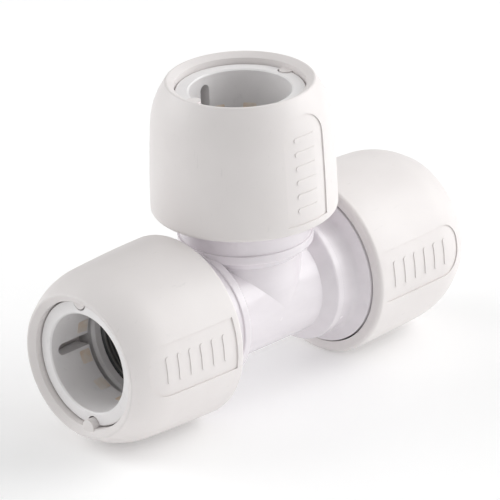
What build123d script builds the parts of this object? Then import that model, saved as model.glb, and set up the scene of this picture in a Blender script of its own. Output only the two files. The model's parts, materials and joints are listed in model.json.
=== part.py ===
from build123d import *
import os

os.makedirs("parts", exist_ok=True)

# Equal push-fit tee for 15 mm pipe. The run lies along X and the branch points up +Z.
# The origin is on the surface that the tee stands on, below the crossing of the three port axes.
# All sizes are in millimetres. Along a port, distances are counted from that crossing, the junction.

# ---------------------------------------------------------------- driving dimensions
pipe_radius = 7.5

# Body: three hollow arms
tube_radius = 8.26
waterway_radius = 5.7
cone_start = 7.55
cone_end = 9.15
band_radius = 10.15
band_rear_round = 0.5
band_front_round = 0.15
neck_radius = 9.85
neck_start = 10.4
neck_end = 13.15
neck_round = 1.0
socket_radius = 11.95
socket_start = 14.05
socket_end = 24.6

# Inside of each arm, from the pipe stop to the mouth of the socket
pipe_stop = 10.5
pipe_bore_radius = pipe_radius + 0.1
pipe_bore_end = 19.6
seal_bore_radius = 10.4
spacer_seat = 22.9
spacer_bore_radius = 11.1

# Snap joint between body and cap
barb_radius = 12.4
barb_back = 20.0
barb_land = 0.6
barb_front = 22.6
barb_clearance = 0.15

# Cap
cap_rear = 14.3
cap_radius = 13.95
cap_rear_round = 0.65
cap_waist_radius = 13.84
cap_waist = 21.4
shoulder_radius = 13.52
shoulder_start = 28.0
nose_radius = 12.1
nose = 33.05
lip_side_radius = 11.5
lip_side = 34.05
lip_radius = 11.05
lip_crest = 34.77
lip_round = 0.3
cap_bore_radius = 12.2
cap_seat = 24.7
head_bore_radius = 10.75
wedge_start = 27.0
wedge_end = 30.2
mouth_radius = 9.85
mouth_edge = 34.0
mouth_round = 0.1

# Panel sunk in the side of each cap, square at the rear and round at the front
panel_rear = 15.7
panel_front = 32.2
panel_width = 8.0
panel_front_round = 3.4
panel_depth = 0.22

# Grip ribs left standing in the panel, a little below the side of the cap
rib_count = 6
rib_centre = 23.4
rib_pitch = 2.2
rib_length = 4.2
rib_thickness = 0.8
rib_sink = 0.08

# Keys of the lip, one tall and one low, and the notches in the collet that take them
key_width = 2.2
key_length = 2.3
key_middle = 9.65
key_bottom = 31.5
tall_key_top = 34.25
low_key_top = 33.2
notch_width = 2.5
notch_length = 3.0
notch_middle = 9.75
notch_floor = 31.3

# Collet
collet_bore_radius = 7.65
collet_radius = 9.65
collet_face = 33.1
collet_bore_chamfer = 0.2
collet_edge_chamfer = 0.15
collet_inner_end = 25.6
head_radius = 10.3
head_front = 27.8
collet_wedge_end = 30.3
slot_width = 1.8
slot_outer_end = 31.6
slot_length = 8.0

# Steel teeth of the collet
tooth_count = 10
tooth_width = 2.0
tooth_inner = 25.9
tooth_outer = 27.7
tooth_tip_radius = 7.45
tooth_heel_radius = 7.6
tooth_root_radius = 9.7

# Spacer ring
spacer_inner_radius = 7.8
spacer_outer_radius = 11.05
spacer_end = 24.45
spacer_chamfer = 0.4

# O-ring, at the size it is squeezed to
ring_inner_radius = 7.4
ring_outer_radius = 10.35
ring_centre = 21.4

# Each port: the way out, the way its panel faces, and how far its cap is turned from that
ports = {
    "left": (Vector(-1, 0, 0), Vector(0, -1, 0), 6),
    "right": (Vector(1, 0, 0), Vector(0, -1, 0), -5),
    "branch": (Vector(0, 0, 1), Vector(0, -1, 0), 0),
}

# Where the surfaces of each arm have their seam: away from the lines where the arms cross
seams = {
    "left": Vector(0, 0, -1),
    "right": Vector(0, 0, -1),
    "branch": Vector(1, 1, 0).normalized(),
}

junction = Vector(0, 0, cap_radius)


# ---------------------------------------------------------------- axis and planes of a port
def port_axis(port):
    outward = ports[port][0]
    return Axis(junction, outward)


def panel_direction(port, angle=0):
    """Direction that the panel of the cap faces, or one at an angle from it round the port."""
    outward, facing, turn = ports[port]
    return facing.rotate(Axis((0, 0, 0), outward), turn + angle)


def section_plane(port, radial):
    """Plane through the axis of the port: x is the radius, y is the distance from the junction."""
    outward = ports[port][0]
    return Plane(origin=junction, x_dir=radial, z_dir=radial.cross(outward))


def cross_plane(port, distance):
    """Plane across the axis of the port: x points to the panel."""
    outward = ports[port][0]
    return Plane(origin=junction + outward * distance, x_dir=panel_direction(port), z_dir=outward)


def side_plane(port, radius):
    """Plane that faces the way the panel does: x is the distance from the junction."""
    outward = ports[port][0]
    facing = panel_direction(port)
    return Plane(origin=junction + facing * radius, x_dir=outward, z_dir=facing)


def save(piece, node):
    piece.label = node
    export_step(piece, f"parts/{node}.step")


# ---------------------------------------------------------------- body
def arm_outline():
    """Outside of one arm: tube, cone, band, neck, and socket."""
    cone_middle = ((tube_radius + band_radius) / 2, (cone_start + cone_end) / 2)
    Polyline((0, 0), (tube_radius, 0), (tube_radius, cone_start), cone_middle)
    FilletPolyline(
        cone_middle,
        (band_radius, cone_end),
        (band_radius, neck_start),
        (neck_radius, neck_start),
        radius=(band_rear_round, band_front_round),
    )
    FilletPolyline(
        (neck_radius, neck_start),
        (neck_radius, neck_end),
        (socket_radius, socket_start),
        radius=neck_round,
    )
    Polyline(
        (socket_radius, socket_start),
        (socket_radius, barb_back),
        (barb_radius, barb_back),
        (barb_radius, barb_back + barb_land),
        (socket_radius, barb_front),
        (socket_radius, socket_end),
        (0, socket_end),
        (0, 0),
    )


def bore_outline():
    """Inside of one arm: waterway, pipe bore, O-ring bore and spacer seat."""
    Polyline(
        (0, 0),
        (waterway_radius, 0),
        (waterway_radius, pipe_stop),
        (pipe_bore_radius, pipe_stop),
        (pipe_bore_radius, pipe_bore_end),
        (seal_bore_radius, pipe_bore_end),
        (seal_bore_radius, spacer_seat),
        (spacer_bore_radius, spacer_seat),
        (spacer_bore_radius, socket_end),
        (0, socket_end),
        (0, 0),
    )


def make_body():
    with BuildPart() as tee_body:
        for port in ports:
            with BuildSketch(section_plane(port, seams[port])):
                with BuildLine():
                    arm_outline()
                make_face()
            revolve(axis=port_axis(port))
        for port in ports:
            with BuildSketch(section_plane(port, seams[port])):
                with BuildLine():
                    bore_outline()
                make_face()
            revolve(axis=port_axis(port), mode=Mode.SUBTRACT)
    return tee_body.part


# ---------------------------------------------------------------- cap
def cap_outline(sink=0):
    """Side of the cap, from its rear edge to just below its lip, or a surface sunk in it."""
    JernArc((cap_radius - cap_rear_round - sink, cap_rear), (1, 0), cap_rear_round, 90)
    ThreePointArc(
        (cap_radius - sink, cap_rear + cap_rear_round),
        (cap_waist_radius - sink, cap_waist),
        (shoulder_radius - sink, shoulder_start),
    )
    Spline(
        (shoulder_radius - sink, shoulder_start),
        (nose_radius - sink, nose),
        (lip_side_radius - sink, lip_side),
        tangents=((-0.05, 1), (-0.62, 1)),
    )


def cap_core(port, sink):
    """Solid body inside the side of the cap, or inside a surface sunk in it."""
    with BuildPart() as core:
        with BuildSketch(section_plane(port, panel_direction(port, 180))):
            with BuildLine():
                cap_outline(sink)
                Polyline(
                    (lip_side_radius - sink, lip_side),
                    (0, lip_side),
                    (0, cap_rear),
                    (cap_radius - cap_rear_round - sink, cap_rear),
                )
            make_face()
        revolve(axis=port_axis(port))
    return core.part


def make_ribs(port):
    """Grip ribs of the panel: short bars across the port."""
    with BuildPart() as ribs:
        with BuildSketch(side_plane(port, 0)):
            with Locations((rib_centre, 0)):
                with GridLocations(rib_pitch, 1, rib_count, 1):
                    SlotOverall(rib_length, rib_thickness, rotation=90)
        extrude(amount=cap_radius)
        add(cap_core(port, rib_sink), mode=Mode.INTERSECT)
    return ribs.part


def make_panel(port):
    """Space of the panel: a thin layer of the side of the cap, without the ribs."""
    with BuildPart() as panel:
        with BuildSketch(side_plane(port, 0)) as outline:
            with Locations(((panel_rear + panel_front) / 2, 0)):
                Rectangle(panel_front - panel_rear, panel_width)
            fillet(outline.vertices().group_by(Axis.X)[-1], panel_front_round)
        extrude(amount=cap_radius)
        add(cap_core(port, panel_depth), mode=Mode.SUBTRACT)
        add(make_ribs(port), mode=Mode.SUBTRACT)
    return panel.part


def make_cap(port):
    with BuildPart() as cap:
        with BuildSketch(section_plane(port, panel_direction(port, 180))):
            with BuildLine():
                cap_outline()
                FilletPolyline(
                    (lip_side_radius, lip_side),
                    (lip_radius, lip_crest),
                    (mouth_radius, mouth_edge),
                    (mouth_radius, wedge_end),
                    radius=(lip_round, mouth_round),
                )
                Polyline(
                    (mouth_radius, wedge_end),
                    (head_bore_radius, wedge_start),
                    (head_bore_radius, cap_seat),
                    (cap_bore_radius, cap_seat),
                    (cap_bore_radius, barb_front + barb_clearance),
                    (barb_radius + barb_clearance, barb_back + barb_land + barb_clearance),
                    (barb_radius + barb_clearance, barb_back - barb_clearance),
                    (cap_bore_radius, barb_back - barb_clearance),
                    (cap_bore_radius, cap_rear),
                    (cap_radius - cap_rear_round, cap_rear),
                )
            make_face()
        revolve(axis=port_axis(port))
        add(make_panel(port), mode=Mode.SUBTRACT)
        for side, key_top in ((1, low_key_top), (-1, tall_key_top)):
            with BuildSketch(cross_plane(port, key_bottom)):
                with Locations((0, side * key_middle)):
                    SlotOverall(key_length, key_width, rotation=90)
            extrude(amount=key_top - key_bottom)
    return cap.part


# ---------------------------------------------------------------- collet and its teeth
def make_tooth(port, number):
    """One steel tooth. Its tip slopes, so that a pipe slides in over it and can't slide out."""
    angle = (number - 0.5) * 360 / tooth_count
    with BuildPart() as tooth:
        with BuildSketch(section_plane(port, panel_direction(port, angle))):
            with BuildLine():
                Polyline(
                    (tooth_tip_radius, tooth_inner),
                    (tooth_root_radius, tooth_inner),
                    (tooth_root_radius, tooth_outer),
                    (tooth_heel_radius, tooth_outer),
                    close=True,
                )
            make_face()
        extrude(amount=tooth_width / 2, both=True)
    return tooth.part


def make_collet(port, teeth):
    with BuildPart() as collet:
        with BuildSketch(section_plane(port, panel_direction(port, 180))):
            with BuildLine():
                Polyline(
                    (collet_bore_radius, collet_inner_end),
                    (head_radius, collet_inner_end),
                    (head_radius, head_front),
                    (collet_radius, collet_wedge_end),
                    (collet_radius, collet_face - collet_edge_chamfer),
                    (collet_radius - collet_edge_chamfer, collet_face),
                    (collet_bore_radius + collet_bore_chamfer, collet_face),
                    (collet_bore_radius, collet_face - collet_bore_chamfer),
                    close=True,
                )
            make_face()
        revolve(axis=port_axis(port))
        with BuildSketch(side_plane(port, 0)):
            with Locations((slot_outer_end - slot_length / 2, 0)):
                SlotOverall(slot_length, slot_width)
        extrude(amount=head_radius + 1, both=True, mode=Mode.SUBTRACT)
        with BuildSketch(cross_plane(port, notch_floor)):
            with Locations((0, notch_middle), (0, -notch_middle)):
                SlotOverall(notch_length, notch_width, rotation=90)
        extrude(amount=collet_face - notch_floor, mode=Mode.SUBTRACT)
        add(teeth, mode=Mode.SUBTRACT)
    return collet.part


# ---------------------------------------------------------------- spacer ring and O-ring
def make_spacer(port):
    with BuildPart() as spacer:
        with BuildSketch(section_plane(port, panel_direction(port))):
            with BuildLine():
                Polyline(
                    (spacer_inner_radius, spacer_seat),
                    (spacer_outer_radius, spacer_seat),
                    (spacer_outer_radius, spacer_end),
                    (spacer_inner_radius + spacer_chamfer, spacer_end),
                    (spacer_inner_radius, spacer_end - spacer_chamfer),
                    close=True,
                )
            make_face()
        revolve(axis=port_axis(port))
    return spacer.part


def make_o_ring(port):
    with BuildPart() as o_ring:
        with BuildSketch(section_plane(port, panel_direction(port))):
            with Locations(((ring_inner_radius + ring_outer_radius) / 2, ring_centre)):
                Circle((ring_outer_radius - ring_inner_radius) / 2)
        revolve(axis=port_axis(port))
    return o_ring.part


# ---------------------------------------------------------------- assembly
save(make_body(), "tee_body")
for port in ports:
    teeth = [make_tooth(port, number) for number in range(1, tooth_count + 1)]
    for number, tooth in enumerate(teeth, start=1):
        save(tooth, f"{port}_tooth_{number:02d}")
    save(make_collet(port, teeth), f"{port}_collet")
    save(make_spacer(port), f"{port}_spacer")
    save(make_o_ring(port), f"{port}_o_ring")
    save(make_cap(port), f"{port}_cap")
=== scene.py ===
import json
import math

import bpy
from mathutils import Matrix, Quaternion, Vector


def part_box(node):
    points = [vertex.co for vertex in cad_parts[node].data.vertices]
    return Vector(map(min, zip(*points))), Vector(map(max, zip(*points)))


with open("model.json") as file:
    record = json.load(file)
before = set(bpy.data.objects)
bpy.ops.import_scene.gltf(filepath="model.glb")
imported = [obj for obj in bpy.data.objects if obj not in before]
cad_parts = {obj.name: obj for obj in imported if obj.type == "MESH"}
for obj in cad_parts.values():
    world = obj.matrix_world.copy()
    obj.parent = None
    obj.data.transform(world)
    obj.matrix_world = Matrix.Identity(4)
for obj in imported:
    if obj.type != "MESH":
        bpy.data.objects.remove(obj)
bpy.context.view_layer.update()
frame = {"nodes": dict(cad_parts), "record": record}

PORTS = ("left", "right", "branch")


# ---------------------------------------------------------------- shader building
# Places of the colour sockets of a Mix node, which share their names with the other types' ones
LAYER_MASK, LAYER_UNDER, LAYER_OVER, LAYER_RESULT = 0, 6, 7, 2

# Places of the inputs of a Math node that multiplies and adds, which share one name
MULTIPLIED, MULTIPLIER, ADDED = 0, 1, 2

# Radians that a Wave texture of scale 1 turns through in one unit
WAVE_FREQUENCY = 20


class Shader:
    """A node material with one Principled shader, in the object's own coordinates."""

    def __init__(self, name, **sockets):
        self.material = bpy.data.materials.new(name)
        self.material.use_nodes = True
        self.tree = self.material.node_tree
        self.surface = self.tree.nodes["Principled BSDF"]
        for socket, value in sockets.items():
            self.surface.inputs[socket.replace("_", " ")].default_value = value
        self.place = self.tree.nodes.new("ShaderNodeTexCoord").outputs["Object"]

    def link(self, output, node, socket):
        self.tree.links.new(output, node.inputs[socket])

    def noise(self, scale, detail=2.0, roughness=0.5, stretch=(1, 1, 1)):
        """Noise value over the object. The scale is in cells a metre."""
        mapping = self.tree.nodes.new("ShaderNodeMapping")
        mapping.inputs["Scale"].default_value = stretch
        noise = self.tree.nodes.new("ShaderNodeTexNoise")
        noise.inputs["Scale"].default_value = scale
        noise.inputs["Detail"].default_value = detail
        noise.inputs["Roughness"].default_value = roughness
        self.link(self.place, mapping, "Vector")
        self.link(mapping.outputs["Vector"], noise, "Vector")
        return noise.outputs["Fac"]

    def bands(self, axis, pitch):
        """Soft bands across an axis of the object. The pitch is in metres."""
        bands = self.tree.nodes.new("ShaderNodeTexWave")
        bands.bands_direction = axis
        bands.inputs["Scale"].default_value = math.tau / (WAVE_FREQUENCY * pitch)
        self.link(self.place, bands, "Vector")
        return bands.outputs["Fac"]

    def ramp(self, value, low, high, dark, light):
        """Colour that goes from dark to light as the value goes from low to high."""
        ramp = self.tree.nodes.new("ShaderNodeValToRGB")
        ramp.color_ramp.elements[0].position = low
        ramp.color_ramp.elements[0].color = (*dark, 1)
        ramp.color_ramp.elements[1].position = high
        ramp.color_ramp.elements[1].color = (*light, 1)
        self.link(value, ramp, "Fac")
        return ramp.outputs["Color"]

    def layer(self, under, over, mask):
        """Colour that is under where the mask is 0 and over where it is 1."""
        layer = self.tree.nodes.new("ShaderNodeMix")
        layer.data_type = "RGBA"
        layer.inputs[LAYER_OVER].default_value = (*over, 1)
        self.link(mask, layer, LAYER_MASK)
        self.link(under, layer, LAYER_UNDER)
        return layer.outputs[LAYER_RESULT]

    def mask(self, value, low, high):
        """0 where the value is under low and 1 where it is over high."""
        mask = self.tree.nodes.new("ShaderNodeMapRange")
        mask.inputs["From Min"].default_value = low
        mask.inputs["From Max"].default_value = high
        self.link(value, mask, "Value")
        return mask.outputs["Result"]

    def plus(self, first, second, share):
        """The first value plus a share of the second."""
        plus = self.tree.nodes.new("ShaderNodeMath")
        plus.operation = "MULTIPLY_ADD"
        plus.inputs[MULTIPLIER].default_value = share
        self.link(second, plus, MULTIPLIED)
        self.link(first, plus, ADDED)
        return plus.outputs["Value"]

    def spread(self, value, low, high):
        """The value from 0 to 1, spread from low to high."""
        spread = self.tree.nodes.new("ShaderNodeMapRange")
        spread.inputs["To Min"].default_value = low
        spread.inputs["To Max"].default_value = high
        self.link(value, spread, "Value")
        return spread.outputs["Result"]

    def colour(self, output):
        self.link(output, self.surface, "Base Color")

    def roughness(self, output):
        self.link(output, self.surface, "Roughness")

    def bump(self, height, depth):
        """Relief. The depth is in metres for a height from 0 to 1."""
        bump = self.tree.nodes.new("ShaderNodeBump")
        bump.inputs["Distance"].default_value = depth
        self.link(height, bump, "Height")
        self.link(bump.outputs["Normal"], self.surface, "Normal")


# ---------------------------------------------------------------- materials
# Range that most noise values lie in
MOST_NOISE = (0.3, 0.7)

# Roughness that scuffs and wear add
WORN_ROUGHNESS = 0.1

# Distance between the moulded rings of a seal, in metres
SEAL_RING_PITCH = 0.0005

# Depths of relief, in metres
ROLLING_DEPTH = 0.000005
FINE_GRAIN_DEPTH = 0.000008
COARSE_GRAIN_DEPTH = 0.00001
SEAL_RING_DEPTH = 0.00005


def cap_material():
    """Satin moulded plastic, warm white, with a fine grain and a few faint handling scuffs."""
    shader = Shader("cap_plastic")
    cloud = shader.ramp(shader.noise(scale=90, detail=3), *MOST_NOISE,
                        dark=(0.805, 0.768, 0.757), light=(0.842, 0.808, 0.798))
    scuffs = shader.mask(shader.noise(scale=420, detail=5, roughness=0.6, stretch=(1, 5, 1)),
                         low=0.64, high=0.76)
    shader.colour(shader.layer(cloud, (0.77, 0.74, 0.73), scuffs))
    satin = shader.spread(shader.noise(scale=260, detail=4), low=0.36, high=0.46)
    shader.roughness(shader.plus(satin, scuffs, WORN_ROUGHNESS))
    grain = shader.noise(scale=4200, detail=3)
    shader.bump(shader.plus(grain, shader.noise(scale=240), share=3.0), FINE_GRAIN_DEPTH)
    return shader.material


def body_material():
    """Glossy moulded plastic, cool white, with soft flow lines under a clear sheen."""
    shader = Shader("body_plastic", Coat_Weight=0.35, Coat_Roughness=0.08)
    flow = shader.noise(scale=150, detail=3, stretch=(1, 3, 3))
    shader.colour(shader.ramp(flow, *MOST_NOISE,
                              dark=(0.806, 0.766, 0.797), light=(0.846, 0.806, 0.838)))
    shader.roughness(shader.spread(shader.noise(scale=320, detail=3), low=0.19, high=0.30))
    shader.bump(shader.plus(shader.noise(scale=1500), flow, share=2.0), FINE_GRAIN_DEPTH)
    return shader.material


def collet_material():
    """Slippery satin plastic, clean white, with a fine grain and small rubbed patches."""
    shader = Shader("collet_plastic")
    cloud = shader.ramp(shader.noise(scale=160), *MOST_NOISE,
                        dark=(0.86, 0.845, 0.845), light=(0.90, 0.885, 0.885))
    wear = shader.mask(shader.noise(scale=700, detail=4, roughness=0.6), low=0.6, high=0.75)
    shader.colour(shader.layer(cloud, (0.82, 0.805, 0.805), wear))
    satin = shader.spread(shader.noise(scale=500, detail=3), low=0.28, high=0.4)
    shader.roughness(shader.plus(satin, wear, WORN_ROUGHNESS))
    shader.bump(shader.noise(scale=3800, detail=3), FINE_GRAIN_DEPTH)
    return shader.material


def spacer_material():
    """Plain matte plastic, off-white, with a coarse moulded grain."""
    shader = Shader("spacer_plastic")
    shader.colour(shader.ramp(shader.noise(scale=300, detail=3), *MOST_NOISE,
                              dark=(0.74, 0.73, 0.73), light=(0.80, 0.79, 0.79)))
    shader.roughness(shader.spread(shader.noise(scale=900, detail=3), low=0.42, high=0.6))
    shader.bump(shader.noise(scale=3000), COARSE_GRAIN_DEPTH)
    return shader.material


def rubber_material(port):
    """Black rubber with moulded rings round the port, lighter stripes painted on the rings as
    highlights, uneven grease and a dusty bloom.
    """
    shader = Shader("seal_rubber_" + port, Coat_Weight=0.4, Coat_Roughness=0.15)
    rings = shader.bands("Z" if port == "branch" else "X", SEAL_RING_PITCH)
    # The lighter colour on the ring crests is painted highlight; the bump below gives the rings
    # their real relief
    painted_ring_highlights = shader.ramp(rings, low=0.35, high=0.75,
                       dark=(0.012, 0.012, 0.012), light=(0.11, 0.108, 0.10))
    bloom = shader.mask(shader.noise(scale=900, detail=4), low=0.58, high=0.8)
    shader.colour(shader.layer(painted_ring_highlights, (0.07, 0.07, 0.068), bloom))
    shader.roughness(shader.spread(shader.noise(scale=700, detail=3), low=0.25, high=0.5))
    grain = shader.noise(scale=5000, detail=3)
    shader.bump(shader.plus(rings, grain, share=0.2), SEAL_RING_DEPTH)
    return shader.material


def steel_material():
    """Satin spring steel with a faint straw tint from its heat treatment and rolling lines."""
    shader = Shader("tooth_steel", Metallic=1.0)
    shader.colour(shader.ramp(shader.noise(scale=350), low=0.35, high=0.65,
                              dark=(0.90, 0.80, 0.68), light=(0.95, 0.92, 0.88)))
    lines = shader.noise(scale=1800, detail=4, roughness=0.6, stretch=(6, 1, 1))
    shader.roughness(shader.spread(lines, low=0.65, high=0.85))
    shader.bump(lines, ROLLING_DEPTH)
    return shader.material


materials = {
    "body_plastic": body_material(),
    "cap_plastic": cap_material(),
    "collet_plastic": collet_material(),
    "spacer_plastic": spacer_material(),
    "tooth_steel": steel_material(),
}
rubbers = {port + "_o_ring": rubber_material(port) for port in PORTS}
for subpart in frame["record"]["subparts"]:
    name = subpart["node"]
    material = rubbers[name] if name in rubbers else materials[subpart["material_slot"]]
    for slot in frame["nodes"][name].material_slots:
        slot.material = material


# ---------------------------------------------------------------- where the port axes cross
cap_low, cap_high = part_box("left_cap")
junction = Vector((0, 0, (cap_low[2] + cap_high[2]) / 2))


# ---------------------------------------------------------------- stage
FLOOR_HALF = 1.5
FLOOR_GREY = 0.9
FLOOR_ROUGHNESS = 0.9
FLOOR_GLOW = 0.15
WHITE = (1, 1, 1, 1)


def make_floor():
    """Plain pale floor, which glows a little so that its shadows stay soft."""
    mesh = bpy.data.meshes.new("floor")
    corners = [(-FLOOR_HALF, -FLOOR_HALF, 0), (FLOOR_HALF, -FLOOR_HALF, 0),
               (FLOOR_HALF, FLOOR_HALF, 0), (-FLOOR_HALF, FLOOR_HALF, 0)]
    mesh.from_pydata(corners, [], [(0, 1, 2, 3)])
    floor = bpy.data.objects.new("floor", mesh)
    bpy.context.collection.objects.link(floor)
    shader = Shader("floor_paper", Base_Color=(FLOOR_GREY, FLOOR_GREY, FLOOR_GREY, 1),
                    Roughness=FLOOR_ROUGHNESS, Emission_Color=WHITE,
                    Emission_Strength=FLOOR_GLOW)
    mesh.materials.append(shader.material)


make_floor()


# ---------------------------------------------------------------- light
VIEW_AZIMUTH = -43.86
VIEW_ELEVATION = 24.12

SOFT_BOX_SIZE = 0.6
SOFT_BOX_DISTANCE = 0.8
SKY_LIGHT = 0.37

# The way to each soft box, as degrees to the right of the camera and up, and its power in watts
SOFT_BOXES = {
    "right_near": (55, 10, 0.52),
    "right_low": (80, 8, 0.93),
    "right": (100, 30, 2.9),
    "right_back": (130, 30, 1.05),
    "right_high": (60, 62, 0.31),
    "left": (-100, 30, 2.4),
    "left_low": (-130, 5, 0.4),
    "left_high": (-60, 62, 0.15),
    "top": (0, 88, 0.5),
}


def direction(azimuth, elevation):
    """Unit vector from the tee, where azimuth 0 is -Y and 90 is +X."""
    azimuth = math.radians(azimuth)
    elevation = math.radians(elevation)
    level = math.cos(elevation)
    return Vector((math.sin(azimuth) * level, -math.cos(azimuth) * level, math.sin(elevation)))


def make_soft_box(name, azimuth, elevation, power):
    """Square soft box that faces the tee."""
    light = bpy.data.lights.new(name, "AREA")
    light.size = SOFT_BOX_SIZE
    light.energy = power
    lamp = bpy.data.objects.new(name, light)
    bpy.context.collection.objects.link(lamp)
    lamp.location = junction + direction(VIEW_AZIMUTH + azimuth, elevation) * SOFT_BOX_DISTANCE
    lamp.rotation_euler = (junction - lamp.location).to_track_quat("-Z", "Y").to_euler()


def make_sky():
    """Even white light from all round, shown without any film curve."""
    sky = bpy.data.worlds.new("studio")
    sky.use_nodes = True
    background = sky.node_tree.nodes["Background"]
    background.inputs["Color"].default_value = WHITE
    background.inputs["Strength"].default_value = SKY_LIGHT
    bpy.context.scene.world = sky
    bpy.context.scene.view_settings.view_transform = "Standard"


for name, (azimuth, elevation, power) in SOFT_BOXES.items():
    make_soft_box(name, azimuth, elevation, power)
make_sky()


# ---------------------------------------------------------------- camera
VIEW_DISTANCE = 1.035
VIEW_ROLL = -2.0
VIEW_LENS = 499.7
SENSOR_WIDTH = 36
CLIP_END = 10

# How far the camera aims off the junction, in metres
AIM_UP = 0.0065
AIM_RIGHT = 0.0006


def make_camera():
    """Long lens that sees the left mouth, the front and the top of the tee."""
    back = direction(VIEW_AZIMUTH, VIEW_ELEVATION)
    right = (-back).cross(Vector((0, 0, 1))).normalized()
    up = right.cross(-back)
    data = bpy.data.cameras.new("camera")
    data.sensor_width = SENSOR_WIDTH
    data.lens = VIEW_LENS
    data.clip_end = CLIP_END
    camera = bpy.data.objects.new("camera", data)
    bpy.context.collection.objects.link(camera)
    camera.location = junction + back * VIEW_DISTANCE
    aim = junction + up * AIM_UP + right * AIM_RIGHT
    level = (aim - camera.location).to_track_quat("-Z", "Y")
    camera.rotation_euler = (level @ Quaternion((0, 0, 1), math.radians(VIEW_ROLL))).to_euler()
    bpy.context.scene.camera = camera


make_camera()
